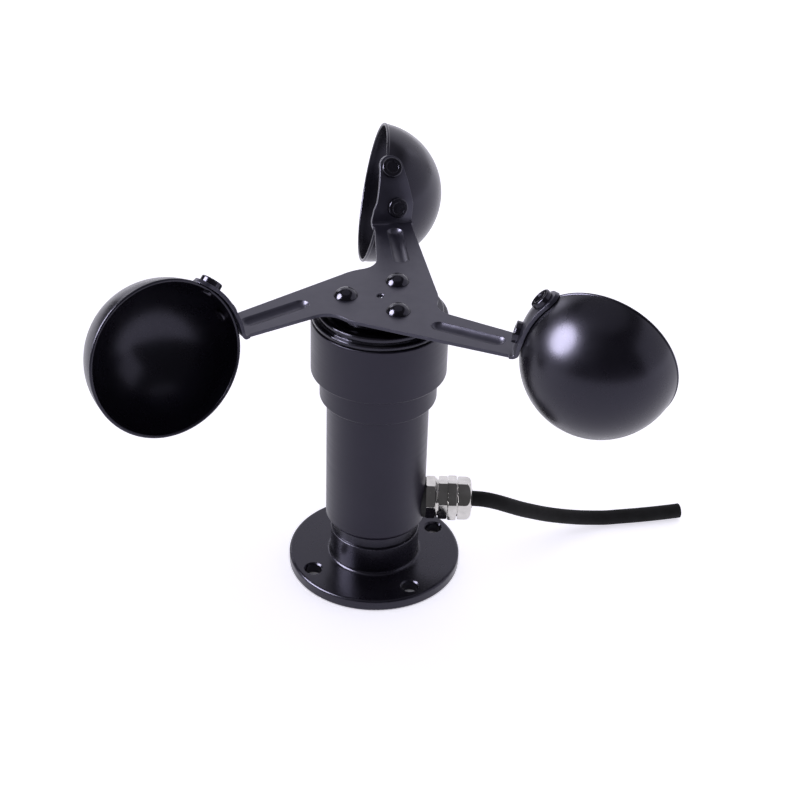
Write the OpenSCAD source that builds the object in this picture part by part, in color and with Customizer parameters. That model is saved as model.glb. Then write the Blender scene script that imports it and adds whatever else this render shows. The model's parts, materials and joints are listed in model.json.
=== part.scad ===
// Three-cup wind speed sensor.
// Origin: centre of the base's flat underside. +Z is the rotor axis, +X is the side the lead leaves by.

/* [Base] */
// Radius of the mounting flange
flange_r = 32.5; // [31:0.5:36]
// Thickness of the mounting flange
flange_t = 4.2; // [3.5:0.1:5]
// Radius of the circle that the mounting holes lie on
bolt_circle_r = 26.5; // [25.5:0.25:27.5]
// Radius of each mounting hole
bolt_hole_r = 3; // [2.2:0.1:3.2]
// Turn of the first mounting hole from +X, in degrees
bolt_turn = 32; // [0:1:90]
// Radius of the neck between the flange and the tube
neck_r = 16.7; // [16.4:0.1:17.2]

/* [Body] */
// Outer radius of the body tube
tube_r = 18.6; // [18.4:0.1:18.9]
// Wall thickness of the body tube
tube_wall = 2.4; // [2.2:0.1:2.6]
// Height of the tube's lower end
tube_z0 = 20.9; // [20:0.1:20.9]
// Height of the tube's upper end, inside the housing
tube_z1 = 84.3; // [83:0.1:84.3]
// Radius of the collar under the bearing head
collar_r = 21.2; // [20.8:0.1:22]
// Height of the collar's lower edge
collar_z = 74.6; // [73:0.2:75.4]
// Radius of the bearing head
head_r = 24.4; // [23.8:0.1:25]
// Height of the bearing head's lower edge
head_z0 = 85.5; // [85:0.1:87]
// Height of the bearing head's upper edge
head_z1 = 106.6; // [106:0.1:106.6]

/* [Cable gland] */
// Height of the gland's axis
gland_z = 29; // [28.4:0.2:30]
// Distance across the corners of the gland's dome nut
nut_corners = 17; // [16.2:0.1:17.6]
// Outer diameter of the lead
lead_d = 5.8; // [5:0.1:5.8]

/* [Rotor] */
// Height of the spider's upper face
spider_z = 115.2; // [115:0.1:115.4]
// Thickness of the spider's sheet metal
spider_t = 1.2; // [1:0.1:1.4]
// Direction of the first arm from +X, in degrees
arm_turn = 84; // [60:1:100]
// Radius of the circle that the hub rivets lie on
hub_rivet_circle_r = 12.1; // [11.5:0.1:12.5]
// Distance of each cup's centre from the rotor axis
cup_reach = 82.4; // [81.5:0.1:83]
// Angle from an arm's direction to its cup's centre, in degrees
cup_lead = 9.9; // [9.5:0.1:10.3]
// Height of the cups' centres
cup_z = 114.6; // [114.4:0.1:114.8]
// Outer radius of the cups
cup_r = 27; // [26.8:0.1:27.1]
// Wall thickness of the cups
cup_wall = 0.9; // [0.7:0.1:1.2]
// Upward tilt of the cups' open sides, in degrees
cup_tilt = 10.7; // [9:0.1:12]

/* [Hidden] */
$fn = 96;

// Base
neck_z1 = 16;
tube_bevel_w = 1.4;
tube_bevel_h = 1.9;
foot_fillet = 1.4;
flange_edge = 1;
hole_bevel = 0.6;
spigot_r = tube_r - tube_wall - 0.05;
spigot_z1 = 36;
pocket_r = 13;
pocket_z = 9;
seal_r = 0.75;
base_seal_z = 21.4;
housing_seal_z = 81;
seal_groove_w = 1.9;

// Bearings, in millimetres from their own centres
race_w = 5;
race_bore_r = 2.5;
race_outer_r = 8;
ball_r = 1.4;
ball_pitch_r = 5.3;
ball_count = 7;
race_play = 0.05;
inner_land_r = 4.3;
outer_land_r = 6.3;
upper_bearing_z = 100;
lower_bearing_z = 71.5;

// Housing
sleeve_r = tube_r + 0.05;
nose_r = 10.2;
nose_z0 = 66.6;
housing_bore_r = 6.9;
weather_seal_z0 = upper_bearing_z + race_w / 2 + 0.3;
weather_seal_z1 = weather_seal_z0 + 2.5;
spigot_floor_z = 78;
circlip_z = 67.9;
circlip_t = 0.9;
labyrinth_r0 = 17.8;
labyrinth_r1 = 20.4;
labyrinth_z = 104.2;

// Shaft and code disc
shaft_r = 2.49;
shaft_z0 = 57.8;
clip_z = 68;
clip_t = 0.7;
disc_r = 11.6;
disc_z = 60.2;
disc_t = 0.6;
disc_slots = 16;
disc_hub_r = 5;
board_z = 52.4;
board_t = 1.6;
board_r = 15.6;
standoff_r = 13.8;
standoff_turn = 0;

// Gland, along +X from the tube's wall
gland_thread_r = 6;
gland_x0 = 11.5;
locknut_x0 = 18.9;
locknut_x1 = 22.4;
locknut_turn = -6.5;
washer_x1 = 23.1;
washer_r = 7.4;
body_neck_r = 6.9;
body_hex_x0 = 23.6;
body_hex_x1 = 27;
body_turn = -15;
dome_x1 = 36;
dome_edge = 2.4;
nut_line_x = 30.4;
nut_line_w = 0.4;
nut_line_r = 7;
nut_step = 0.3;
gland_bore_r = lead_d / 2 + 0.05;

// Route of the lead, from inside the tube to its cut end
lead_r = lead_d / 2;
lead_points = [
    [14, 0, 29], [25, 0, 29], [36, 0, 29], [41, 0, 28.7], [46, 0.6, 27.2], [51, 2.6, 24.2],
    [56, 5.8, 20.4], [61, 9.5, 16.6], [66, 13, 13.1], [71, 16.4, 10], [76, 19.4, 7.4], [81, 22, 5.3],
    [86, 24, 3.9], [91, 25.4, 3.1], [96, 26.5, 2.95], [101, 27.4, 2.95], [106, 28.4, 2.95],
    [111, 29.5, 2.95], [116, 30.7, 2.95], [121, 32, 2.95]
];
core_r = 0.7;

// Rotor
hub_z0 = 107;
hub_z1 = spider_z - spider_t;
hub_r1 = 24.1;
hub_r2 = 22.4;
hub_r3 = 16.4;
hub_step1_z = 108.5;
hub_step2_z = 110.8;
boss_r = 3.9;
arm_cw = [[25, -13.5], [55, -4.5]];
arm_ccw = [[25, 4.7], [55, 9.7]];
arm_fillet = 7.6;
web_over = 0.06;
arm_tip_past = 5;
groove = [[28.2, -3.8], [48.6, 1]];
groove_r = 3.6;
groove_depth = 1.6;
centre_hole_r = 1.25;
lip_r = cup_r + 0.25;
lip_w = 1.1;
tab_r0 = lip_r + 0.05;
tab_r1 = tab_r0 + spider_t;
tab_turn = 27.5;
tab_rim_w = 9.8;
tab_hub_w = 5.6;
tab_end_r = 4.6;
tab_low = 13.5;
tab_high = 43.5;
bend_r = 1.2;
rivet_shank_r = 1.6;
rivet_head_r = 3.8;
rivet_head_h = 1.7;
cup_names = ["rear", "left", "right"];

// ---------- helpers ----------

// A rectangle in the half plane of a turned piece
module band(r0, r1, z0, z1) {
    translate([r0, z0])
        square([r1 - r0, z1 - z0]);
}

// What is cut away to round the corner at (r, z) with radius c; sr and sz point out of the corner
module corner(r, z, c, sr, sz) {
    translate([r - sr * c, z - sz * c])
        difference() {
            translate([sr > 0 ? 0 : -c - 0.5, sz > 0 ? 0 : -c - 0.5])
                square(c + 0.5);
            circle(r = c, $fn = 48);
        }
}

// Lays a piece that was turned about Z along +X at the gland's height
module along_x(x) {
    translate([x, 0, gland_z])
        rotate([0, 90, 0])
            children();
}

// A hexagonal prism with rounded corners on both ends, height h, distance c across corners
module hex_nut(c, h, bore_r, bevel = 0.6) {
    difference() {
        intersection() {
            rotate([0, 0, 30])
                cylinder(r = c / 2, h = h, $fn = 6);
            rotate_extrude()
                difference() {
                    band(0, c / 2, 0, h);
                    corner(c / 2, 0, bevel, 1, -1);
                    corner(c / 2, h, bevel, 1, 1);
                }
        }
        translate([0, 0, -1])
            cylinder(r = bore_r, h = h + 2);
    }
}

function turned(p, a) = [p[0] * cos(a) - p[1] * sin(a), p[0] * sin(a) + p[1] * cos(a)];
function unit(v) = v / norm(v);

// ---------- base and tube ----------

module base_flange() {
    color("#2b2b30")
        difference() {
            rotate_extrude()
                difference() {
                    union() {
                        band(0, flange_r, 0, flange_t);
                        band(0, neck_r, 0, neck_z1);
                        band(0, spigot_r - 0.3, neck_z1 - 1, tube_z0);
                        band(0, spigot_r, tube_z0, spigot_z1);
                        difference() {
                            band(neck_r - 1, neck_r + foot_fillet, flange_t - 1, flange_t + foot_fillet);
                            translate([neck_r + foot_fillet, flange_t + foot_fillet])
                                circle(r = foot_fillet, $fn = 48);
                        }
                    }
                    corner(flange_r, flange_t, flange_edge, 1, 1);
                    corner(flange_r, 0, 0.4, 1, -1);
                    corner(neck_r, neck_z1, 0.4, 1, 1);
                    band(spigot_r - 1.55, spigot_r + 1, base_seal_z, base_seal_z + seal_groove_w);
                    band(-1, pocket_r, pocket_z, spigot_z1 + 1);
                    corner(spigot_r, spigot_z1, 0.5, 1, 1);
                }
            for (i = [0:3])
                rotate([0, 0, bolt_turn + 90 * i])
                    translate([bolt_circle_r, 0, 0]) {
                        translate([0, 0, -1])
                            cylinder(r = bolt_hole_r, h = flange_t + 2);
                        translate([0, 0, flange_t - hole_bevel])
                            cylinder(
                                r1 = bolt_hole_r, r2 = bolt_hole_r + 2 * hole_bevel, h = 2 * hole_bevel
                            );
                    }
            along_x(5)
                cylinder(r = gland_thread_r + 0.5, h = 20);
        }
}

module o_ring(z) {
    translate([0, 0, z + seal_groove_w / 2])
        rotate_extrude()
            translate([spigot_r + 0.03 - seal_r, 0])
                circle(r = seal_r, $fn = 32);
}

module base_o_ring() {
    color("#17171a")
        o_ring(base_seal_z);
}

module housing_o_ring() {
    color("#17171a")
        o_ring(housing_seal_z);
}

module body_tube() {
    color("#4a4a50")
        difference() {
            rotate_extrude()
                difference() {
                    band(tube_r - tube_wall, tube_r, tube_z0, tube_z1);
                    // the lower end is bevelled, steeper than it is wide
                    translate([tube_r, tube_z0])
                        polygon([
                            [-tube_bevel_w, -1], [-tube_bevel_w, 0],
                            [0, tube_bevel_h], [1, tube_bevel_h], [1, -1]
                        ]);
                    corner(tube_r, tube_z1, 0.4, 1, 1);
                }
            along_x(5)
                cylinder(r = gland_thread_r + 0.05, h = 20);
        }
}

// ---------- bearing housing ----------

module bearing_housing() {
    color("#4a4a50")
        rotate_extrude()
            difference() {
                union() {
                    band(0, head_r, head_z0, head_z1);
                    band(0, collar_r, collar_z, head_z0 + 1);
                    band(0, nose_r, nose_z0, spigot_floor_z + 1);
                }
                // the tube's sleeve, between the collar's skirt and the inner spigot
                band(spigot_r, sleeve_r, collar_z - 1, tube_z1 + 0.1);
                band(nose_r, spigot_r + 0.1, collar_z - 1, spigot_floor_z);
                band(spigot_r - 1.55, spigot_r + 0.1, housing_seal_z, housing_seal_z + seal_groove_w);
                // the bore and the two bearing seats
                band(-1, housing_bore_r, nose_z0 - 1, head_z1 + 1);
                band(0, race_outer_r, upper_bearing_z - race_w / 2, head_z1 + 1);
                band(0, race_outer_r, nose_z0 - 1, lower_bearing_z + race_w / 2);
                band(0, race_outer_r + 0.6, circlip_z - 0.05, circlip_z + circlip_t + 0.05);
                // the labyrinth groove under the hub's skirt
                band(labyrinth_r0, labyrinth_r1, labyrinth_z, head_z1 + 1);
                corner(head_r, head_z1, 0.4, 1, 1);
                corner(head_r, head_z0, 0.6, 1, -1);
                corner(collar_r, collar_z, 0.8, 1, -1);
            }
}

module weather_seal() {
    color("#17171a")
        rotate_extrude()
            difference() {
                band(boss_r + 0.4, race_outer_r, weather_seal_z0, weather_seal_z1);
                corner(boss_r + 0.4, weather_seal_z1, 0.6, -1, 1);
            }
}

// An open spring ring from r0 to r1 with eyes at its ends
module open_ring(r0, r1, z, t, gap_deg) {
    translate([0, 0, z])
        difference() {
            rotate_extrude(angle = 360 - gap_deg)
                band(r0, r1, 0, t);
            for (a = [6, 354 - gap_deg])
                rotate([0, 0, a])
                    translate([(r0 + r1) / 2, 0, -1])
                        cylinder(r = 0.3, h = t + 2, $fn = 24);
        }
}

module housing_circlip() {
    color("#8d8f93")
        open_ring(race_outer_r - 1.2, race_outer_r + 0.5, circlip_z, circlip_t, 40);
}

module shaft_clip() {
    color("#8d8f93")
        open_ring(shaft_r - 0.4, shaft_r + 1.8, clip_z, clip_t, 90);
}

// ---------- bearings ----------

module race_groove() {
    translate([ball_pitch_r, 0])
        circle(r = ball_r + race_play, $fn = 48);
}

module inner_race(z) {
    translate([0, 0, z])
        rotate_extrude()
            difference() {
                band(race_bore_r, inner_land_r, -race_w / 2, race_w / 2);
                race_groove();
            }
}

module outer_race(z) {
    translate([0, 0, z])
        rotate_extrude()
            difference() {
                band(outer_land_r, race_outer_r - 0.01, -race_w / 2, race_w / 2);
                race_groove();
                corner(race_outer_r - 0.01, race_w / 2, 0.3, 1, 1);
                corner(race_outer_r - 0.01, -race_w / 2, 0.3, 1, -1);
            }
}

module each_ball(z) {
    for (i = [0:ball_count - 1])
        rotate([0, 0, i * 360 / ball_count])
            translate([ball_pitch_r, 0, z])
                children();
}

module bearing_cage(z) {
    difference() {
        translate([0, 0, z])
            rotate_extrude()
                band(ball_pitch_r - 0.5, ball_pitch_r + 0.5, -1.8, 1.8);
        each_ball(z)
            sphere(r = ball_r + 0.03, $fn = 48);
    }
}

module bearing_balls(z) {
    each_ball(z)
        sphere(r = ball_r, $fn = 48);
}

module upper_bearing_outer_race() {
    color("#b9bcc2")
        outer_race(upper_bearing_z);
}

module upper_bearing_inner_race() {
    color("#b9bcc2")
        inner_race(upper_bearing_z);
}

module upper_bearing_cage() {
    color("#b08d4a")
        bearing_cage(upper_bearing_z);
}

module upper_bearing_balls() {
    color("#d5d8dd")
        bearing_balls(upper_bearing_z);
}

module lower_bearing_outer_race() {
    color("#b9bcc2")
        outer_race(lower_bearing_z);
}

module lower_bearing_inner_race() {
    color("#b9bcc2")
        inner_race(lower_bearing_z);
}

module lower_bearing_cage() {
    color("#b08d4a")
        bearing_cage(lower_bearing_z);
}

module lower_bearing_balls() {
    color("#d5d8dd")
        bearing_balls(lower_bearing_z);
}

module bearing_spacer() {
    color("#a7abb1")
        rotate_extrude()
            band(race_bore_r + 0.02, boss_r, lower_bearing_z + race_w / 2, upper_bearing_z - race_w / 2);
}

// ---------- shaft, code disc and electronics ----------

module rotor_shaft() {
    color("#b4b8be")
        rotate_extrude()
            difference() {
                band(0, shaft_r, shaft_z0, hub_z1);
                band(shaft_r - 0.45, shaft_r + 1, clip_z - 0.05, clip_z + clip_t + 0.05);
                corner(shaft_r, shaft_z0, 0.4, 1, -1);
                translate([0, hub_z1])
                    polygon([[-1, 1], [1.3, 1], [0.9, 0], [0, -1.4], [-1, -1.4]]);
            }
}

module code_disc() {
    color("#7d8085")
        difference() {
            translate([0, 0, disc_z])
                cylinder(r = disc_r, h = disc_t);
            translate([0, 0, disc_z - 1])
                cylinder(r = disc_hub_r - 1.2, h = disc_t + 2);
            for (i = [0:disc_slots - 1])
                rotate([0, 0, i * 360 / disc_slots])
                    translate([disc_r - 2.4, -0.8, disc_z - 1])
                        cube([1.7, 1.6, disc_t + 2]);
        }
}

module code_disc_hub() {
    color("#9a9da3")
        difference() {
            rotate_extrude()
                difference() {
                    union() {
                        band(shaft_r + 0.02, disc_hub_r, disc_z + disc_t, disc_z + 4.8);
                        band(shaft_r + 0.02, disc_hub_r - 1.22, disc_z - 1.4, disc_z + 2);
                    }
                    corner(disc_hub_r, disc_z + 4.8, 0.4, 1, 1);
                }
            translate([0, 0, disc_z + 2.8])
                rotate([90, 0, 0])
                    cylinder(r = 1.02, h = disc_hub_r + 2);
        }
}

module code_disc_set_screw() {
    color("#3b3d41")
        translate([0, -shaft_r - 0.02, disc_z + 2.8])
            rotate([90, 0, 0])
                difference() {
                    cylinder(r = 1, h = 2.3);
                    translate([0, 0, 1.2])
                        cylinder(r = 0.5, h = 2, $fn = 6);
                }
}

module optical_sensor() {
    color("#1d1d20")
        difference() {
            translate([-14, -3, board_z + board_t])
                cube([5.4, 6, 11]);
            // the slot that the disc turns in
            translate([-12.4, -4, disc_z - 1.2])
                cube([6, 8, disc_t + 2.4]);
            translate([0, 0, board_z + board_t + 9])
                rotate([0, 0, 180])
                    translate([11, 0, 0])
                        cylinder(r = 1, h = 4, $fn = 32);
        }
}

module circuit_board() {
    color("#2f6b46")
        difference() {
            translate([0, 0, board_z])
                cylinder(r = board_r, h = board_t);
            at_standoffs()
                translate([0, 0, board_z - 1])
                    cylinder(r = 1.3, h = board_t + 2, $fn = 32);
        }
}

module at_standoffs() {
    for (i = [0:2])
        rotate([0, 0, standoff_turn + 120 * i])
            translate([standoff_r, 0, 0])
                children();
}

module board_components() {
    color("#2a2a2d") {
        translate([-3, -10, board_z + board_t])
            cube([6, 4, 1.6]);
        translate([-3.5, 6.5, board_z + board_t])
            cylinder(r = 2.2, h = 5, $fn = 48);
        translate([2, 6.5, board_z + board_t])
            cube([4, 3, 1.4]);
        translate([7.5, -4, board_z + board_t])
            cube([2.4, 1.4, 0.8]);
        translate([7.5, 2, board_z + board_t])
            cube([2.4, 1.4, 0.8]);
    }
}

module terminal_block() {
    color("#3f7d4f")
        difference() {
            translate([2.5, -6, board_z - 7])
                cube([6.5, 12, 7]);
            for (i = [0:3])
                translate([4.4, -4.5 + 3 * i, board_z - 8])
                    cylinder(r = core_r + 0.25, h = 4, $fn = 32);
            for (i = [0:3])
                translate([7.2, -4.5 + 3 * i, board_z - 7.6])
                    cylinder(r = 1, h = 1.8, $fn = 32);
        }
}

module board_standoffs() {
    color("#b59a5a")
        at_standoffs()
            difference() {
                translate([0, 0, board_z + board_t])
                    cylinder(r = 1.9, h = spigot_floor_z - board_z - board_t, $fn = 6);
                translate([0, 0, board_z])
                    cylinder(r = 1.02, h = board_t + 5, $fn = 32);
            }
}

module board_screws() {
    color("#a9acb2")
        at_standoffs() {
            translate([0, 0, board_z - 1.5])
                difference() {
                    rotate_extrude($fn = 48)
                        difference() {
                            band(0, 2, 0, 1.5);
                            corner(2, 0, 0.6, 1, -1);
                        }
                    translate([0, 0, -1])
                        cylinder(r = 0.8, h = 1.9, $fn = 6);
                }
            translate([0, 0, board_z - 0.1])
                cylinder(r = 1, h = board_t + 4, $fn = 32);
        }
}

// ---------- cable gland and lead ----------

module gland_gasket() {
    color("#17171a")
        difference() {
            along_x(15)
                difference() {
                    cylinder(r = 7.6, h = locknut_x0 - 15);
                    translate([0, 0, -1])
                        cylinder(r = gland_thread_r + 0.1, h = 8);
                }
            cylinder(r = tube_r + 0.02, h = 60);
        }
}

module gland_locknut() {
    color("#c4c4c6")
        along_x(locknut_x0)
            rotate([0, 0, locknut_turn])
                hex_nut(16, locknut_x1 - locknut_x0, gland_thread_r + 0.03);
}

module gland_body() {
    color("#c4c4c6") {
        difference() {
            union() {
                along_x(gland_x0)
                    cylinder(r = gland_thread_r, h = locknut_x1 - gland_x0 + 0.5);
                along_x(locknut_x1)
                    rotate_extrude()
                        difference() {
                            band(0, washer_r, 0, washer_x1 - locknut_x1);
                            corner(washer_r, washer_x1 - locknut_x1, 0.2, 1, 1);
                            corner(washer_r, 0, 0.2, 1, -1);
                        }
                along_x(washer_x1 - 0.3)
                    cylinder(r = body_neck_r, h = 1);
                along_x(body_hex_x0)
                    rotate([0, 0, body_turn])
                        hex_nut(16.4, body_hex_x1 - body_hex_x0, 0.5);
                along_x(body_hex_x1 - 0.5)
                    cylinder(r = 6, h = 4.5);
            }
            along_x(gland_x0 - 1)
                cylinder(r = gland_bore_r + 0.6, h = 40);
            along_x(body_hex_x1 - 0.5)
                cylinder(r = 4.8, h = 40);
        }
    }
}

module gland_seal() {
    color("#1b1b1e")
        along_x(body_hex_x1)
            rotate_extrude()
                difference() {
                    union() {
                        band(gland_bore_r, 4.7, -0.4, 5);
                        band(gland_bore_r, 3.9, 4, dome_x1 - body_hex_x1 + 0.3);
                    }
                    corner(3.9, dome_x1 - body_hex_x1 + 0.3, 0.4, 1, 1);
                }
}

module gland_dome_nut() {
    nut_x0 = body_hex_x1 + 0.1;
    nut_h = dome_x1 - nut_x0;
    line_z0 = nut_line_x - nut_x0;
    line_z1 = line_z0 + nut_line_w;
    end_r = nut_corners / 2 - nut_step;
    end_h = nut_h - line_z1;
    color("#c9c9cb")
        along_x(nut_x0)
            rotate([0, 0, body_turn])
                difference() {
                    union() {
                        hex_nut(nut_corners, line_z0, 5);
                        cylinder(r = nut_line_r, h = line_z1 + 0.5);
                        translate([0, 0, line_z1])
                            intersection() {
                                rotate([0, 0, 30])
                                    cylinder(r = end_r, h = end_h, $fn = 6);
                                rotate_extrude()
                                    difference() {
                                        band(0, end_r, 0, end_h);
                                        corner(end_r, 0, 0.5, 1, -1);
                                        corner(end_r, end_h, dome_edge, 1, 1);
                                    }
                            }
                    }
                    translate([0, 0, -1])
                        cylinder(r = 6.05, h = 5.2);
                    translate([0, 0, -1])
                        cylinder(r = 4.75, h = 6.1);
                    translate([0, 0, -1])
                        cylinder(r = 3.95, h = nut_h + 2);
                }
}

// One ring of points round each point of a route, square to the way the route runs there.
// across is a direction that the route never runs along.
function route_dir(p, i) = unit(p[min(i + 1, len(p) - 1)] - p[max(i - 1, 0)]);
function ring_at(p, i, r, sides, across) =
    let (
        d = route_dir(p, i),
        side = unit(cross(across, d)),
        up = cross(d, side)
    )
    [for (k = [0:sides - 1]) p[i] + r * (cos(360 * k / sides) * side + sin(360 * k / sides) * up)];

module swept(points, r, sides, across) {
    n = len(points);
    rings = [for (i = [0:n - 1]) each ring_at(points, i, r, sides, across)];
    walls = [
        for (i = [0:n - 2])
            for (k = [0:sides - 1])
                let (a = i * sides + k, b = i * sides + (k + 1) % sides)
                    [a, b, b + sides, a + sides]
    ];
    first = [for (k = [0:sides - 1]) sides - 1 - k];
    last = [for (k = [0:sides - 1]) (n - 1) * sides + k];
    polyhedron(rings, concat([first], walls, [last]), convexity = 4);
}

module lead() {
    color("#222226")
        swept(lead_points, lead_r, 12, [0, 0, 1]);
}

// The four cores leave the lead as a square bundle, then rise and fan out into the terminal block.
// core_fan says how far the cores have fanned out at each point of core_route, from 0 to 1.
core_route = [
    [13.9, 0, 29], [12.8, 0, 29], [10.9, 0, 29.4], [9, 0, 30.3], [7.2, 0, 31.8],
    [5.7, 0, 34.3], [4.8, 0, 37.2], [4.4, 0, 40.5], [4.4, 0, 44], [4.4, 0, 47.5]
];
core_fan = [0, 0, 0.1, 0.25, 0.45, 0.65, 0.85, 1, 1, 1];
core_gap = 0.95;

function core_points(i) =
    [for (k = [0:len(core_route) - 1])
        let (
            d = route_dir(core_route, k),
            from_side = i < 2 ? -core_gap : core_gap,
            from_up = i == 1 || i == 2 ? core_gap : -core_gap,
            left = 1 - core_fan[k],
            sideways = left * from_side + core_fan[k] * (3 * i - 4.5),
            lift = left * from_up
        )
        core_route[k] + [lift * d[2], sideways, -lift * d[0]]
    ];

module lead_cores() {
    core_colors = ["#8c2f2a", "#1c1c1f", "#c9b03a", "#3a6a45"];
    for (i = [0:3])
        color(core_colors[i])
            swept(core_points(i), core_r, 8, [0, 1, 0]);
}

// ---------- rotor ----------

module at_hub_rivets() {
    for (i = [0:2])
        rotate([0, 0, arm_turn - 22 + 120 * i])
            translate([hub_rivet_circle_r, 0, 0])
                children();
}

module rotor_hub() {
    color("#26262b")
        difference() {
            rotate_extrude()
                difference() {
                    union() {
                        band(0, hub_r1, hub_z0, hub_step1_z);
                        band(0, hub_r2, hub_z0, hub_step2_z);
                        band(0, hub_r3, hub_z0, hub_z1);
                        band(labyrinth_r0 + 0.5, labyrinth_r1 - 0.5, labyrinth_z + 0.6, hub_z0 + 0.5);
                        band(0, boss_r, upper_bearing_z + race_w / 2, hub_z0 + 0.5);
                    }
                    band(-1, shaft_r + 0.01, 0, 200);
                    corner(hub_r1, hub_step1_z, 0.4, 1, 1);
                    corner(hub_r1, hub_z0, 0.3, 1, -1);
                    corner(hub_r2, hub_step2_z, 0.4, 1, 1);
                    corner(hub_r3, hub_z1, 0.3, 1, 1);
                    // relief between the second step's edge and the raised centre
                    translate([hub_r2 - 3.8, hub_step2_z + 1.4])
                        circle(r = 2, $fn = 64);
                }
            at_hub_rivets()
                translate([0, 0, hub_z0 - 1])
                    cylinder(r = 2.03, h = 8);
        }
}

// Each arm's leading edge is a straight line that just touches the disc in the middle of the sheet,
// and its other edge runs nearly through the axis. A fillet joins that edge to the disc.
along_cw = unit(arm_cw[1] - arm_cw[0]);
along_ccw = unit(arm_ccw[1] - arm_ccw[0]);
off_ccw = [-along_ccw[1], along_ccw[0]];
touch_cw = arm_cw[0] - (arm_cw[0] * along_cw) * along_cw;
foot_ccw = arm_ccw[0] - (arm_ccw[0] * along_ccw) * along_ccw;
web_r = norm(touch_cw) + web_over;
fillet_lift = foot_ccw * off_ccw + arm_fillet;
fillet_run = sqrt(pow(web_r + arm_fillet, 2) - pow(fillet_lift, 2));
fillet_centre = fillet_run * along_ccw + fillet_lift * off_ccw;
fillet_start = fillet_centre - arm_fillet * off_ccw;

module spider_outline() {
    circle(r = web_r);
    for (i = [0:2])
        rotate(120 * i) {
            polygon([
                touch_cw, arm_cw[1] + along_cw * arm_tip_past,
                arm_ccw[1] + along_ccw * arm_tip_past, foot_ccw
            ]);
            difference() {
                polygon([
                    fillet_start, fillet_centre, web_r * unit(fillet_centre),
                    0.8 * web_r * unit(fillet_centre), fillet_start - 10 * along_ccw - off_ccw
                ]);
                translate(fillet_centre)
                    circle(r = arm_fillet);
            }
        }
}

// Runs along the arm's groove as a rod with round ends, its axis h above the sheet's upper face
module groove_rod(r, h) {
    along = groove[1] - groove[0];
    translate([groove[0][0], groove[0][1], spider_z + h])
        rotate([0, 0, atan2(along[1], along[0])]) {
            rotate([0, 90, 0])
                cylinder(r = r, h = norm(along));
            sphere(r = r);
            translate([norm(along), 0, 0])
                sphere(r = r);
        }
}

// From an arm's own frame to its cup's centre
module at_cup() {
    rotate([0, 0, cup_lead])
        translate([cup_reach, 0, cup_z])
            rotate([0, 0, -cup_lead])
                children();
}

// From an arm's own frame to the line through the cup's centre that a tab's rivet lies on, as +Z
module on_tab(lift) {
    at_cup()
        rotate([0, 0, 180 + tab_turn])
            rotate([0, 90 - lift, 0])
                children();
}

// The sheet turned up into a tab that follows the cup's wall. Its outline is drawn as seen along
// the line halfway up it: widest at the bend, reaching the cup's rim on one side, round at the top.
module tab() {
    sheet_z1 = spider_z - cup_z;
    bend_s = tab_r1 + bend_r;
    bend_z = sheet_z1 + bend_r;
    mid = 20.75;
    bend_y = -tab_r1 * sin(mid);
    end_y = tab_r1 * sin(tab_high - mid);
    intersection() {
        at_cup()
            rotate([0, 0, 180 + tab_turn - 40])
                rotate_extrude(angle = 80, $fn = 128) {
                    band(bend_s - 0.1, bend_s + 0.8, sheet_z1 - spider_t, sheet_z1);
                    intersection() {
                        band(bend_s - 4, bend_s, bend_z - 4, bend_z);
                        translate([bend_s, bend_z])
                            difference() {
                                circle(r = bend_r + spider_t, $fn = 64);
                                circle(r = bend_r, $fn = 64);
                            }
                    }
                    intersection() {
                        band(0, 40, bend_z - 0.05, 40);
                        difference() {
                            circle(r = tab_r1, $fn = 128);
                            circle(r = tab_r0, $fn = 128);
                        }
                    }
                }
        on_tab(mid)
            rotate([0, 0, 90])
                linear_extrude(50) {
                    polygon([
                        [-tab_rim_w, bend_y - 6], [tab_hub_w, bend_y - 6], [tab_hub_w, bend_y],
                        [tab_hub_w + 1.2, bend_y + 7], [tab_end_r + 0.3, end_y],
                        [0.3 - tab_end_r, end_y], [2.6 - tab_rim_w, bend_y + 9.5],
                        [1.2 - tab_rim_w, bend_y + 6.5], [0.3 - tab_rim_w, bend_y + 3], [-tab_rim_w, bend_y]
                    ]);
                    translate([0.3, end_y])
                        circle(r = tab_end_r, $fn = 64);
                }
    }
}

module cup_spider() {
    color("#3a3a40")
        difference() {
            union() {
                difference() {
                    translate([0, 0, spider_z - spider_t])
                        linear_extrude(spider_t)
                            rotate(arm_turn)
                                spider_outline();
                    for (i = [0:2])
                        rotate([0, 0, arm_turn + 120 * i])
                            at_cup()
                                translate([0, 0, -10])
                                    cylinder(r = tab_r1 + bend_r + 0.4, h = 20);
                }
                for (i = [0:2])
                    rotate([0, 0, arm_turn + 120 * i]) {
                        tab();
                        intersection() {
                            groove_rod(groove_r + spider_t, groove_r - groove_depth);
                            translate([0, -50, spider_z - 10])
                                cube([100, 100, 10 - spider_t / 2]);
                        }
                    }
            }
            for (i = [0:2])
                rotate([0, 0, arm_turn + 120 * i]) {
                    groove_rod(groove_r, groove_r - groove_depth);
                    for (lift = [tab_low, tab_high])
                        on_tab(lift)
                            cylinder(r = rivet_shank_r + 0.03, h = 40);
                }
            at_hub_rivets()
                translate([0, 0, spider_z - 5])
                    cylinder(r = 2.03, h = 10);
            translate([0, 0, spider_z - 5])
                cylinder(r = centre_hole_r, h = 10);
            translate([0, 0, spider_z - 0.3])
                cylinder(r1 = centre_hole_r, r2 = centre_hole_r + 0.6, h = 0.6);
        }
}

module hub_rivets() {
    dome_h = 2.8;
    dome_r = 4.3;
    ball = (dome_r * dome_r + dome_h * dome_h) / (2 * dome_h);
    color("#2f2f34")
        at_hub_rivets()
            rotate_extrude() {
                intersection() {
                    band(0, dome_r, spider_z, spider_z + dome_h);
                    translate([0, spider_z + dome_h - ball])
                        circle(r = ball, $fn = 128);
                }
                band(0, 2, hub_z0 + 0.1, spider_z + 0.2);
            }
}

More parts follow.
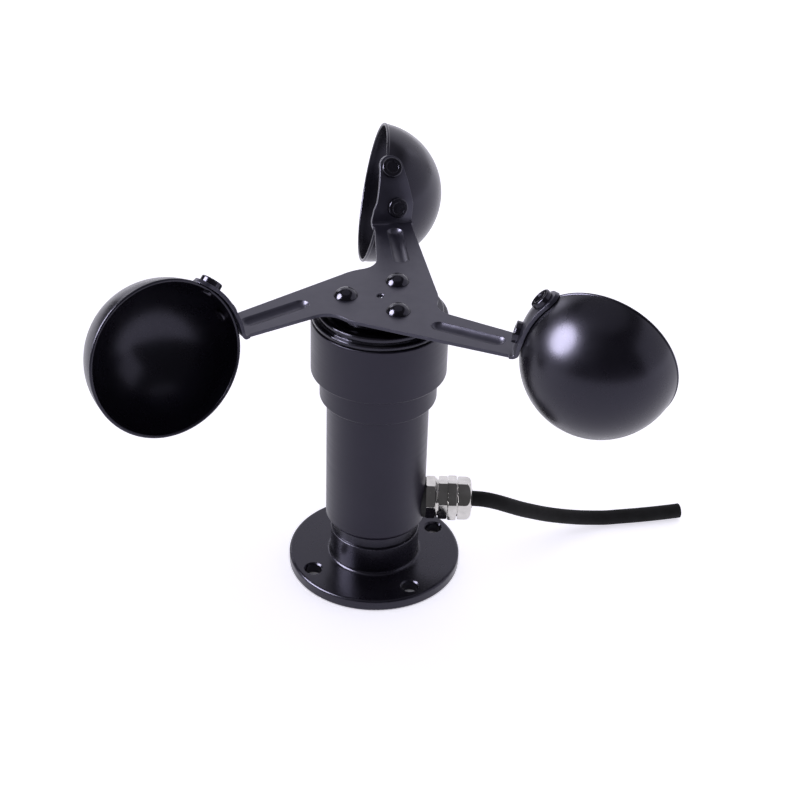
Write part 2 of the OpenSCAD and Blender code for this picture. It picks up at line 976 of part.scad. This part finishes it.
module cup(i) {
    color("#1f1f23")
        rotate([0, 0, arm_turn + 120 * i])
            difference() {
                at_cup()
                    rotate([0, 0, cup_lead + 90.9])
                        rotate([0, -90 - cup_tilt, 0])
                            rotate_extrude() {
                                intersection() {
                                    band(0, 40, 0, 40);
                                    difference() {
                                        circle(r = cup_r, $fn = 128);
                                        circle(r = cup_r - cup_wall, $fn = 128);
                                    }
                                }
                                difference() {
                                    band(cup_r - cup_wall, lip_r, 0, lip_w);
                                    corner(lip_r, 0, 0.3, 1, -1);
                                    corner(lip_r, lip_w, 0.3, 1, 1);
                                }
                            }
                for (lift = [tab_low, tab_high])
                    on_tab(lift)
                        cylinder(r = rivet_shank_r + 0.03, h = 40);
            }
}

module rear_cup() {
    cup(0);
}

module left_cup() {
    cup(1);
}

module right_cup() {
    cup(2);
}

// Flat-headed rivets with a shallow ring in the head, and a small formed tail inside the cup
module cup_rivet() {
    difference() {
        rotate_extrude($fn = 64)
            difference() {
                band(0, rivet_head_r, tab_r1 - 1, tab_r1 + rivet_head_h);
                corner(rivet_head_r, tab_r1 + rivet_head_h, 0.5, 1, 1);
                band(-1, 2.3, tab_r1 + rivet_head_h - 0.3, tab_r1 + rivet_head_h + 1);
            }
        sphere(r = tab_r1, $fn = 128);
    }
    translate([0, 0, cup_r - cup_wall - 0.3])
        cylinder(r = rivet_shank_r, h = tab_r1 - cup_r + cup_wall + 1, $fn = 64);
    intersection() {
        rotate_extrude($fn = 64)
            difference() {
                band(0, 2.2, cup_r - cup_wall - 1.2, cup_r - cup_wall + 1);
                corner(2.2, cup_r - cup_wall - 1.2, 0.6, 1, -1);
            }
        sphere(r = cup_r - cup_wall, $fn = 128);
    }
}

module cup_rivets() {
    color("#3c3c41")
        for (i = [0:2])
            rotate([0, 0, arm_turn + 120 * i])
                for (lift = [tab_low, tab_high])
                    on_tab(lift)
                        cup_rivet();
}

base_flange();
base_o_ring();
body_tube();
bearing_housing();
housing_o_ring();
upper_bearing_outer_race();
upper_bearing_inner_race();
upper_bearing_cage();
upper_bearing_balls();
lower_bearing_outer_race();
lower_bearing_inner_race();
lower_bearing_cage();
lower_bearing_balls();
bearing_spacer();
weather_seal();
housing_circlip();
shaft_clip();
rotor_shaft();
code_disc();
code_disc_hub();
code_disc_set_screw();
optical_sensor();
circuit_board();
board_components();
terminal_block();
board_standoffs();
board_screws();
gland_gasket();
gland_locknut();
gland_body();
gland_seal();
gland_dome_nut();
lead();
lead_cores();
rotor_hub();
cup_spider();
hub_rivets();
rear_cup();
left_cup();
right_cup();
cup_rivets();
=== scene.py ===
"""Looks for the three-cup wind speed sensor: camera, lead, cups, materials, floor and lights."""

import json
import math

import bmesh
import bpy
from mathutils import Matrix, Vector


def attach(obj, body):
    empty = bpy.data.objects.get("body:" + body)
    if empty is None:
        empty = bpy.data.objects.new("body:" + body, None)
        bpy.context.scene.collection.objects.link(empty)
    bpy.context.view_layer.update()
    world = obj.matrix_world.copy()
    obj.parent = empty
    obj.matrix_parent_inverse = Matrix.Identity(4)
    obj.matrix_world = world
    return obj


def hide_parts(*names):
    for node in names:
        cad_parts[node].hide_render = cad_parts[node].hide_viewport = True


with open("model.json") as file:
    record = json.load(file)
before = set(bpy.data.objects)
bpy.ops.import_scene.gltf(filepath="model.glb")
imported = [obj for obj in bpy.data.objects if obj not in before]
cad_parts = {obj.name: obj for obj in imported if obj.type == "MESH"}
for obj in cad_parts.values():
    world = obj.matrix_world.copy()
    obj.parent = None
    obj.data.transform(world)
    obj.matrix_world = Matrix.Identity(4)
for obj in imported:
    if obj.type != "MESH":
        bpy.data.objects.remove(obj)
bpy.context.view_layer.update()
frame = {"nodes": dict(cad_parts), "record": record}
NODES = frame["nodes"]
MM = 0.001


# ---------- camera ----------

CAMERA_EYE = Vector((8.01, -519.18, 410.03)) * MM
CAMERA_ELEVATION = math.radians(33.063)
CAMERA_ROLL = math.radians(1.915)
CAMERA_LENS = 76.88


def make_camera():
    """The camera stands in front of the sensor and looks down at it, with a slight roll."""
    right = Vector((1, 0, 0))
    back = Vector((0, -math.cos(CAMERA_ELEVATION), math.sin(CAMERA_ELEVATION)))
    up = back.cross(right)
    side = math.cos(CAMERA_ROLL) * right + math.sin(CAMERA_ROLL) * up
    top = math.cos(CAMERA_ROLL) * up - math.sin(CAMERA_ROLL) * right
    data = bpy.data.cameras.new("camera")
    data.sensor_width = 36
    data.lens = CAMERA_LENS
    data.clip_start = 0.01
    data.clip_end = 50
    camera = bpy.data.objects.new("camera", data)
    bpy.context.scene.collection.objects.link(camera)
    turn = Matrix((side, top, back)).transposed().to_4x4()
    camera.matrix_world = Matrix.Translation(CAMERA_EYE) @ turn
    bpy.context.scene.camera = camera


make_camera()


# ---------- materials ----------

class Nodes:
    """A material's node tree, with short calls for what the finishes below share."""

    def __init__(self, name):
        self.material = bpy.data.materials.new(name)
        self.material.use_nodes = True
        self.tree = self.material.node_tree
        self.shader = self.tree.nodes["Principled BSDF"]
        self.place = self.add("ShaderNodeTexCoord").outputs["Object"]

    def add(self, kind, **settings):
        node = self.tree.nodes.new(kind)
        for key, value in settings.items():
            setattr(node, key, value)
        return node

    def link(self, source, target):
        self.tree.links.new(source, target)

    def noise(self, scale, detail=3.0, stretch=None):
        place = self.place
        if stretch:
            mapping = self.add("ShaderNodeMapping")
            mapping.inputs["Scale"].default_value = stretch
            self.link(place, mapping.inputs["Vector"])
            place = mapping.outputs["Vector"]
        node = self.add("ShaderNodeTexNoise")
        node.inputs["Scale"].default_value = scale
        node.inputs["Detail"].default_value = detail
        self.link(place, node.inputs["Vector"])
        return node.outputs["Fac"]

    def span(self, value, low, high, from_low=0.3, from_high=0.7):
        """Maps value from one range to another, clamped."""
        node = self.add("ShaderNodeMapRange")
        node.inputs["From Min"].default_value = from_low
        node.inputs["From Max"].default_value = from_high
        node.inputs["To Min"].default_value = low
        node.inputs["To Max"].default_value = high
        self.link(value, node.inputs["Value"])
        return node.outputs["Result"]

    def ramp(self, value, stops):
        node = self.add("ShaderNodeValToRGB")
        elements = node.color_ramp.elements
        while len(elements) < len(stops):
            elements.new(0.5)
        for element, (position, color) in zip(elements, stops):
            element.position = position
            element.color = (*color, 1)
        self.link(value, node.inputs["Fac"])
        return node.outputs["Color"]

    def mix(self, factor, first, second):
        """Goes from first, a socket, to second, a colour."""
        node = self.add("ShaderNodeMix", data_type="RGBA")
        self.link(factor, node.inputs["Factor"])
        self.link(first, node.inputs[6])
        node.inputs[7].default_value = (*second, 1)
        return node.outputs[2]

    def math(self, operation, first, second):
        node = self.add("ShaderNodeMath", operation=operation)
        self.link(first, node.inputs[0])
        self.link(second, node.inputs[1])
        return node.outputs["Value"]

    def bump(self, height, distance, strength=1.0, normal=None):
        node = self.add("ShaderNodeBump")
        node.inputs["Distance"].default_value = distance
        node.inputs["Strength"].default_value = strength
        self.link(height, node.inputs["Height"])
        if normal is not None:
            self.link(normal, node.inputs["Normal"])
        return node.outputs["Normal"]

    def soft_edge(self, radius):
        node = self.add("ShaderNodeBevel", samples=6)
        node.inputs["Radius"].default_value = radius
        return node.outputs["Normal"]

    def painted_edge_highlight_mask(self, radius):
        """0 on flats and 1 on sharp edges: how far the softened normal leans from the true one. The
        finishes paint a pale highlight along edges with it.
        """
        soft = self.soft_edge(radius)
        geometry = self.add("ShaderNodeNewGeometry")
        dot = self.add("ShaderNodeVectorMath", operation="DOT_PRODUCT")
        self.link(soft, dot.inputs[0])
        self.link(geometry.outputs["Normal"], dot.inputs[1])
        lean = self.add("ShaderNodeMath", operation="SUBTRACT")
        lean.inputs[0].default_value = 1.0
        self.link(dot.outputs["Value"], lean.inputs[1])
        return self.span(lean.outputs["Value"], 0, 1, 0.03, 0.25)


def shade(n, color, roughness, normal, metallic=0.0, specular=0.5, tint=None):
    """Joins a material's parts to its shader: three sockets, then constants."""
    s = n.shader
    n.link(color, s.inputs["Base Color"])
    n.link(roughness, s.inputs["Roughness"])
    n.link(normal, s.inputs["Normal"])
    s.inputs["Metallic"].default_value = metallic
    s.inputs["Specular IOR Level"].default_value = specular
    if tint:
        s.inputs["Specular Tint"].default_value = (*tint, 1)
    return n.material


# the black finishes mirror the room in a slightly violet blue
COOL = (0.8, 0.78, 1.0)


def lacquer(name, dark, light, rough, peel, highlight_color, edge=0.00025):
    """Black lacquer or anodising: faint cloudy colour, orange peel, and a painted highlight that makes
    edges paler in patches.
    """
    n = Nodes(name)
    cloud = n.noise(55, 4)
    color = n.ramp(cloud, [(0.3, dark), (0.7, light)])
    # painted highlight: sharp edges mixed towards a paler colour, broken into patches
    painted_highlight = n.painted_edge_highlight_mask(edge * 1.6)
    highlight_patches = n.span(n.noise(180, 4), 0, 1, 0.42, 0.7)
    color = n.mix(n.math("MULTIPLY", painted_highlight, highlight_patches), color, highlight_color)
    roughness = n.span(n.noise(120, 5), rough[0], rough[1])
    normal = n.bump(n.noise(700, 2), peel, 0.35, n.soft_edge(edge))
    return shade(n, color, roughness, normal, tint=COOL)


def turned_satin(name, dark, light, rough, lines):
    """Satin anodised surface with fine turning lines round the axis, and a painted highlight along its
    edges.
    """
    n = Nodes(name)
    color = n.ramp(n.noise(60, 4), [(0.3, dark), (0.7, light)])
    fine = n.noise(1.0, 2, (40, 40, 9000))
    broad = n.noise(1.0, 3, (12, 12, 1400))
    # painted highlight: sharp edges mixed towards a light grey
    painted_highlight = n.painted_edge_highlight_mask(0.0004)
    color = n.mix(n.span(painted_highlight, 0, 0.5, 0, 1), color, (0.2, 0.2, 0.225))
    roughness = n.span(broad, rough[0], rough[1])
    normal = n.bump(fine, lines, 0.5, n.soft_edge(0.0003))
    return shade(n, color, roughness, normal, specular=0.4, tint=COOL)


def enamel(name, dark, light, rough, grain):
    """Satin enamel on pressed sheet: a fine even grain, with a painted highlight that makes the edges
    slightly paler.
    """
    n = Nodes(name)
    color = n.ramp(n.noise(90, 5), [(0.3, dark), (0.7, light)])
    # painted highlight: sharp edges mixed towards a paler violet grey
    painted_highlight = n.painted_edge_highlight_mask(0.0004)
    color = n.mix(n.span(painted_highlight, 0, 0.6, 0, 1), color, (0.09, 0.09, 0.105))
    roughness = n.span(n.noise(250, 4), rough[0], rough[1])
    normal = n.bump(n.noise(grain, 3), 0.00002, 0.5, n.soft_edge(0.0003))
    return shade(n, color, roughness, normal, specular=0.75, tint=COOL)


def metal(name, dark, light, rough, grain=900, bump=0.000015):
    """Bare or plated metal: slightly uneven colour and polish, with a fine ripple."""
    n = Nodes(name)
    color = n.ramp(n.noise(140, 4), [(0.3, dark), (0.7, light)])
    roughness = n.span(n.noise(grain, 4), rough[0], rough[1])
    normal = n.bump(n.noise(grain * 2, 3), bump, 0.4, n.soft_edge(0.0002))
    return shade(n, color, roughness, normal, metallic=1.0)


def plastic(name, dark, light, rough, grain=1800, bump=0.00003, specular=0.4):
    """Moulded plastic or rubber with a fine grain."""
    n = Nodes(name)
    color = n.ramp(n.noise(130, 5), [(0.3, dark), (0.7, light)])
    roughness = n.span(n.noise(400, 4), rough[0], rough[1])
    normal = n.bump(n.noise(grain, 3), bump, 0.5, n.soft_edge(0.0002))
    return shade(n, color, roughness, normal, specular=specular)


def grey(value, cool=0.0):
    """A grey that leans to violet blue as cool goes up from 0."""
    return (value, value * (1 - 0.3 * cool), value * (1 + cool))


# each slot's finish: the function that makes it, its darker and lighter colour, its range of roughness,
# and what else that function takes
FINISHES = {
    # in a lacquer's row, the colour after the bump depth is its painted edge highlight
    "base_black": (lacquer, grey(0.004, 0.5), grey(0.006, 0.5), (0.23, 0.29), 0.00001, (0.04, 0.04, 0.05)),
    "body_grey": (turned_satin, grey(0.007, 0.6), grey(0.0095, 0.6), (0.32, 0.4), 0.00001),
    "hub_black": (
        lacquer, grey(0.003, 0.3), grey(0.005, 0.3), (0.1, 0.15), 0.000006, (0.02, 0.02, 0.024), 0.0009
    ),
    "spider_black": (enamel, (0.012, 0.0115, 0.019), (0.018, 0.017, 0.027), (0.29, 0.37), 2600),
    "rivet_black": (lacquer, grey(0.006, 0.3), grey(0.01, 0.3), (0.12, 0.17), 0.00001, (0.05, 0.05, 0.056)),
    "cup_black": (lacquer, grey(0.002, 0.6), grey(0.004, 0.6), (0.25, 0.31), 0.000006, (0.03, 0.03, 0.034)),
    "seal_rubber": (plastic, grey(0.012), grey(0.02), (0.6, 0.75)),
    "nickel": (metal, (0.5, 0.49, 0.46), (0.7, 0.685, 0.655), (0.05, 0.14), 420, 0.00003),
    "lead_jacket": (plastic, grey(0.01), grey(0.016, 0.05), (0.66, 0.78), 2400, 0.00004, 0.12),
    "core_insulation": (plastic, (0.4, 0.06, 0.05), (0.5, 0.09, 0.07), (0.3, 0.4)),
    "bearing_steel": (metal, (0.5, 0.51, 0.53), (0.62, 0.63, 0.65), (0.08, 0.14)),
    "cage_brass": (metal, (0.55, 0.38, 0.16), (0.68, 0.5, 0.23), (0.25, 0.35)),
    "plain_steel": (metal, (0.4, 0.41, 0.43), (0.52, 0.53, 0.55), (0.22, 0.34)),
    "spring_steel": (metal, (0.1, 0.1, 0.11), (0.16, 0.16, 0.17), (0.35, 0.5)),
    "disc_steel": (metal, (0.24, 0.25, 0.26), (0.32, 0.33, 0.34), (0.3, 0.4)),
    "disc_hub_alloy": (metal, (0.5, 0.51, 0.53), (0.6, 0.61, 0.63), (0.25, 0.35)),
    "sensor_black": (plastic, grey(0.018), grey(0.028), (0.45, 0.55)),
    "board_green": (plastic, (0.015, 0.1, 0.04), (0.025, 0.15, 0.06), (0.25, 0.35)),
    "component_black": (plastic, grey(0.018), grey(0.03), (0.4, 0.5)),
    "terminal_green": (plastic, (0.03, 0.22, 0.08), (0.04, 0.28, 0.1), (0.3, 0.4)),
    "standoff_brass": (metal, (0.58, 0.43, 0.2), (0.7, 0.54, 0.28), (0.2, 0.3)),
}
MATERIALS = {slot: make(slot, *values) for slot, (make, *values) in FINISHES.items()}


def dress(obj, slot_name):
    """Puts a material in all of a piece's slots."""
    if not obj.material_slots:
        obj.data.materials.append(MATERIALS[slot_name])
    for s in obj.material_slots:
        s.material = MATERIALS[slot_name]


for part in frame["record"]["subparts"]:
    dress(NODES[part["node"]], part["material_slot"])


# ---------- mesh helpers ----------

def new_piece(name, verts, faces, slot_name, body, smooth=True):
    """A mesh piece in millimetres that rides on a body."""
    data = bpy.data.meshes.new(name)
    data.from_pydata([tuple(c * MM for c in v) for v in verts], [], faces)
    bm = bmesh.new()
    bm.from_mesh(data)
    bmesh.ops.remove_doubles(bm, verts=bm.verts, dist=1e-7)
    bmesh.ops.recalc_face_normals(bm, faces=bm.faces)
    bm.to_mesh(data)
    bm.free()
    for polygon in data.polygons:
        polygon.use_smooth = smooth
    obj = bpy.data.objects.new(name, data)
    bpy.context.scene.collection.objects.link(obj)
    dress(obj, slot_name)
    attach(obj, body)
    return obj


# ---------- the lead ----------

LEAD_R = 2.9
LEAD_SIDES = 32
# the route from inside the gland to the cut end
LEAD_POINTS = [
    (14, 0, 29), (25, 0, 29), (36, 0, 29), (41, 0, 28.7), (46, 0.6, 27.2), (51, 2.6, 24.2),
    (56, 5.8, 20.4), (61, 9.5, 16.6), (66, 13, 13.1), (71, 16.4, 10), (76, 19.4, 7.4), (81, 22, 5.3),
    (86, 24, 3.9), (91, 25.4, 3.1), (96, 26.5, 2.95), (101, 27.4, 2.95), (106, 28.4, 2.95),
    (111, 29.5, 2.95), (116, 30.7, 2.95), (121, 32, 2.95),
]
# the four cores: how far each stands from the lead's middle, and the radius of its sleeve and its copper
CORE_OFFSET = 1.05
CORE_R = 0.85
COPPER_R = 0.42
CORE_SIDES = 20
CORE_COLORS = [(0.35, 0.05, 0.04), (0.03, 0.03, 0.032), (0.5, 0.4, 0.06), (0.05, 0.22, 0.08)]


def smooth_route(points, per_span):
    """A Catmull-Rom curve through the points, per_span steps between two points."""
    p = [Vector(q) for q in points]
    out = []
    for i in range(len(p) - 1):
        a, b, c, d = p[max(i - 1, 0)], p[i], p[i + 1], p[min(i + 2, len(p) - 1)]
        for k in range(per_span):
            t = k / per_span
            out.append(0.5 * (2 * b + (c - a) * t + (2 * a - 5 * b + 4 * c - d) * t * t
                              + (3 * b - a - 3 * c + d) * t ** 3))
    out.append(p[-1])
    return out


def frames_along(route):
    """For each point of a route: the point, its direction and two directions across it."""
    out = []
    for i, q in enumerate(route):
        way = (route[min(i + 1, len(route) - 1)] - route[max(i - 1, 0)]).normalized()
        side = Vector((0, 0, 1)).cross(way).normalized()
        out.append((q, way, side, way.cross(side)))
    return out


def ring(verts, count, centre, side, up, r):
    """Adds a circle of points and gives the number of its first one."""
    start = len(verts)
    for k in range(count):
        a = 2 * math.pi * k / count
        verts.append(centre + r * (math.cos(a) * side + math.sin(a) * up))
    return start


def skin(rows, count):
    """The faces between rings that follow each other, and a face over each end."""
    faces = [
        (a + k, a + (k + 1) % count, b + (k + 1) % count, b + k)
        for a, b in zip(rows, rows[1:]) for k in range(count)
    ]
    return faces + [tuple(start + k for k in range(count)) for start in (rows[0], rows[-1])]


def core_end(name, centre, way, side, up, r, proud, material):
    """The cut end of a core's sleeve or of its copper, a little proud of the lead's own cut face."""
    verts = []
    rows = [
        ring(verts, CORE_SIDES, centre - back * way, side, up, radius)
        for back, radius in ((0.6, r), (0.05 - proud, r), (-proud, r - 0.05))
    ]
    piece = new_piece(name, verts, skin(rows, CORE_SIDES), "core_insulation", "stator", smooth=False)
    for s in piece.material_slots:
        s.material = material
    return piece


def make_lead():
    route = smooth_route(LEAD_POINTS, 4)
    frames = frames_along(route)
    end, way, side, up = frames[-1]
    verts = []
    rows = [ring(verts, LEAD_SIDES, q, across, over, LEAD_R) for q, _, across, over in frames[:-1]]
    # the cut end: a rounded edge, then a flat ring and a shallow hollow round the cores
    for back, r in ((0.12, LEAD_R), (0.03, LEAD_R - 0.04), (0, LEAD_R - 0.14), (0, 2.15), (0.25, 2.1)):
        rows.append(ring(verts, LEAD_SIDES, end - back * way, side, up, r))
    lead = new_piece("lead_cable", verts, skin(rows, LEAD_SIDES), "lead_jacket", "stator")
    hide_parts("lead")

    copper = metal("core_copper", (0.6, 0.3, 0.17), (0.75, 0.4, 0.24), (0.25, 0.35))
    for i, color in enumerate(CORE_COLORS):
        a = math.pi / 4 + i * math.pi / 2
        centre = end + CORE_OFFSET * (math.cos(a) * side + math.sin(a) * up)
        dark = tuple(0.8 * c for c in color)
        sleeve = plastic(f"core_insulation_{i}", dark, color, (0.35, 0.45))
        core_end(f"lead_core_sleeve_{i + 1}", centre, way, side, up, CORE_R, 0.0, sleeve)
        core_end(f"lead_core_copper_{i + 1}", centre, way, side, up, COPPER_R, 0.02, copper)


make_lead()


# ---------- the cups ----------

CUP_R = 27
CUP_WALL = 0.9
CUP_SIDES = 144
LIP_BEAD_R = 0.575
# the cup's centre, its distance from the axis and how far it runs ahead of its arm, in degrees
CUP_Z = 114.6
CUP_REACH = 82.4
CUP_LEAD = 9.9
# the turn of its mouth from its arm, and the tilt of its mouth upwards
CUP_FACING = 90.9
CUP_TILT = 10.7
ARM_TURN = 84


def arc(radius, first, last, steps, middle=(0, 0)):
    """Points (radius, height) along an arc between two angles in degrees."""
    angles = [math.radians(first + (last - first) * k / steps) for k in range(steps + 1)]
    return [(middle[0] + radius * math.cos(a), middle[1] + radius * math.sin(a)) for a in angles]


def cup_profile():
    """Half of the cup's section as (radius, height over its mouth): inside, rolled lip, outside."""
    inner = CUP_R - CUP_WALL
    bead = arc(LIP_BEAD_R, 165, 420, 16, middle=(inner + LIP_BEAD_R, LIP_BEAD_R))
    return arc(inner, 90, 2, 30) + bead + arc(CUP_R, 2.8, 90, 30)


def make_cup(name, turn):
    """A hemisphere with a rolled lip, facing along the way it is driven and tilted a little upwards."""
    place = (
        Matrix.Rotation(math.radians(turn + CUP_LEAD), 4, "Z")
        @ Matrix.Translation((CUP_REACH, 0, CUP_Z))
        @ Matrix.Rotation(math.radians(CUP_FACING), 4, "Z")
        @ Matrix.Rotation(math.radians(-90 - CUP_TILT), 4, "Y")
    )
    profile = cup_profile()
    verts, faces = [], []
    for r, z in profile:
        for k in range(CUP_SIDES):
            a = 2 * math.pi * k / CUP_SIDES
            verts.append(place @ Vector((r * math.cos(a), r * math.sin(a), z)))
    for row in range(len(profile) - 1):
        for k in range(CUP_SIDES):
            a = row * CUP_SIDES + k
            b = row * CUP_SIDES + (k + 1) % CUP_SIDES
            faces.append((a, b, b + CUP_SIDES, a + CUP_SIDES))
    cup = new_piece(name + "_shell", verts, faces, "cup_black", "rotor")
    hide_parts(name)


for arm, cup_name in enumerate(("rear_cup", "left_cup", "right_cup")):
    make_cup(cup_name, ARM_TURN + 120 * arm)


# ---------- floor, backdrop and lights ----------

# the floor and all the lamps share a slightly violet white
ROOM_TINT = (0.93, 0.915, 1.0)
# the floor's glow near the sensor and far from it, and the distances between which it changes
FLOOR_GLOW = 0.71
FAR_GLOW = 1.02
FAR_START = 0.6
FAR_END = 2.0
# half the floor's width, how far it lies under the base, and the radius that the base covers, inside which
# the floor's glow is left out as painted shade
FLOOR_HALF = 6.0
FLOOR_DROP = 0.2 * MM
COVERED_R = 31.5 * MM
BACKDROP_R = 8.6
# what the lamps are aimed at
AIM = Vector((0, 0, 0.08))


def make_stage():
    """A wide white floor that glows like a light table."""
    n = Nodes("floor_white")
    color = n.ramp(n.noise(3, 3), [(0.3, (0.86, 0.86, 0.865)), (0.7, (0.88, 0.88, 0.885))])
    roughness = n.span(n.noise(40, 3), 0.75, 0.85)
    normal = n.bump(n.noise(500, 3), 0.00002, 0.3)
    material = shade(n, color, roughness, normal, specular=0.1)
    n.shader.inputs["Emission Color"].default_value = (*ROOM_TINT, 1)
    # painted shade: no glow where the base covers the floor, so the holes in the base look dark; and more
    # glow where the lamps fall off
    distance = n.add("ShaderNodeVectorMath", operation="LENGTH")
    n.link(n.place, distance.inputs[0])
    near = n.span(distance.outputs["Value"], 0, FLOOR_GLOW, COVERED_R, COVERED_R + MM)
    far = n.span(distance.outputs["Value"], 0, FAR_GLOW - FLOOR_GLOW, FAR_START, FAR_END)
    n.link(n.math("ADD", near, far), n.shader.inputs["Emission Strength"])
    data = bpy.data.meshes.new("floor")
    w = FLOOR_HALF
    corners = [(x, y, -FLOOR_DROP) for x, y in ((-w, -w), (w, -w), (w, w), (-w, w))]
    data.from_pydata(corners, [], [(0, 1, 2, 3)])
    floor = bpy.data.objects.new("floor", data)
    bpy.context.scene.collection.objects.link(floor)
    floor.data.materials.append(material)


def make_backdrop():
    """A white surround that only the camera sees, so that it lights nothing and shows in no reflection."""
    n = Nodes("backdrop_white")
    color = n.ramp(n.noise(0.2, 2), [(0.3, (0.99, 0.99, 0.995)), (0.7, (1, 1, 1))])
    n.link(color, n.shader.inputs["Emission Color"])
    n.shader.inputs["Base Color"].default_value = (0, 0, 0, 1)
    n.shader.inputs["Specular IOR Level"].default_value = 0
    n.shader.inputs["Emission Strength"].default_value = 1.0
    n.material.cycles.emission_sampling = "NONE"
    bm = bmesh.new()
    bmesh.ops.create_icosphere(bm, subdivisions=4, radius=BACKDROP_R)
    data = bpy.data.meshes.new("backdrop")
    bm.to_mesh(data)
    bm.free()
    backdrop = bpy.data.objects.new("backdrop", data)
    backdrop.data.materials.append(n.material)
    for kind in ("glossy", "diffuse", "transmission", "shadow", "volume_scatter"):
        setattr(backdrop, "visible_" + kind, False)
    bpy.context.scene.collection.objects.link(backdrop)


def lamp(name, azimuth, elevation, distance, size, brightness, size_y=None, glossy=True, diffuse=True):
    """An area light in that direction from the sensor, turned to face it, a disc unless size_y is given.

    Azimuth is from +X towards +Y. brightness is the light's own radiance. glossy says whether reflections
    show it, and diffuse whether it lights surfaces.
    """
    a, e = math.radians(azimuth), math.radians(elevation)
    out = Vector((math.cos(a) * math.cos(e), math.sin(a) * math.cos(e), math.sin(e)))
    data = bpy.data.lights.new(name, "AREA")
    data.shape = "RECTANGLE" if size_y else "DISK"
    data.size = size
    if size_y:
        data.size_y = size_y
    area = size * size_y if size_y else math.pi * size * size / 4
    data.energy = brightness * math.pi * area
    data.color = ROOM_TINT
    light = bpy.data.objects.new(name, data)
    light.location = AIM + out * distance
    light.rotation_mode = "QUATERNION"
    light.rotation_quaternion = out.to_track_quat("Z", "Y")
    light.visible_camera = False
    light.visible_glossy = glossy
    light.visible_diffuse = diffuse
    bpy.context.scene.collection.objects.link(light)


def make_lights():
    world = bpy.data.worlds.new("world")
    world.use_nodes = True
    background = world.node_tree.nodes["Background"]
    background.inputs["Color"].default_value = (*ROOM_TINT, 1)
    background.inputs["Strength"].default_value = 0.1
    bpy.context.scene.world = world
    lamp("softbox_left", -168, 34, 1.2, 0.84, 29, diffuse=False)
    lamp("kicker", 128, 26, 1.6, 0.5, 2.5, diffuse=False)
    lamp("wall_right", 5, 16, 1.8, 2.6, 0.8, size_y=1.9)
    lamp("wall_back", 85, 20, 2.0, 3.4, 0.95, size_y=2.2)
    lamp("overhead", 90, 86, 2.2, 3, 0.85, glossy=False)
    lamp("ceiling", 90, 84, 2.0, 2.2, 0.35, diffuse=False)


make_stage()
make_backdrop()
make_lights()
bpy.context.scene.view_settings.view_transform = "Standard"
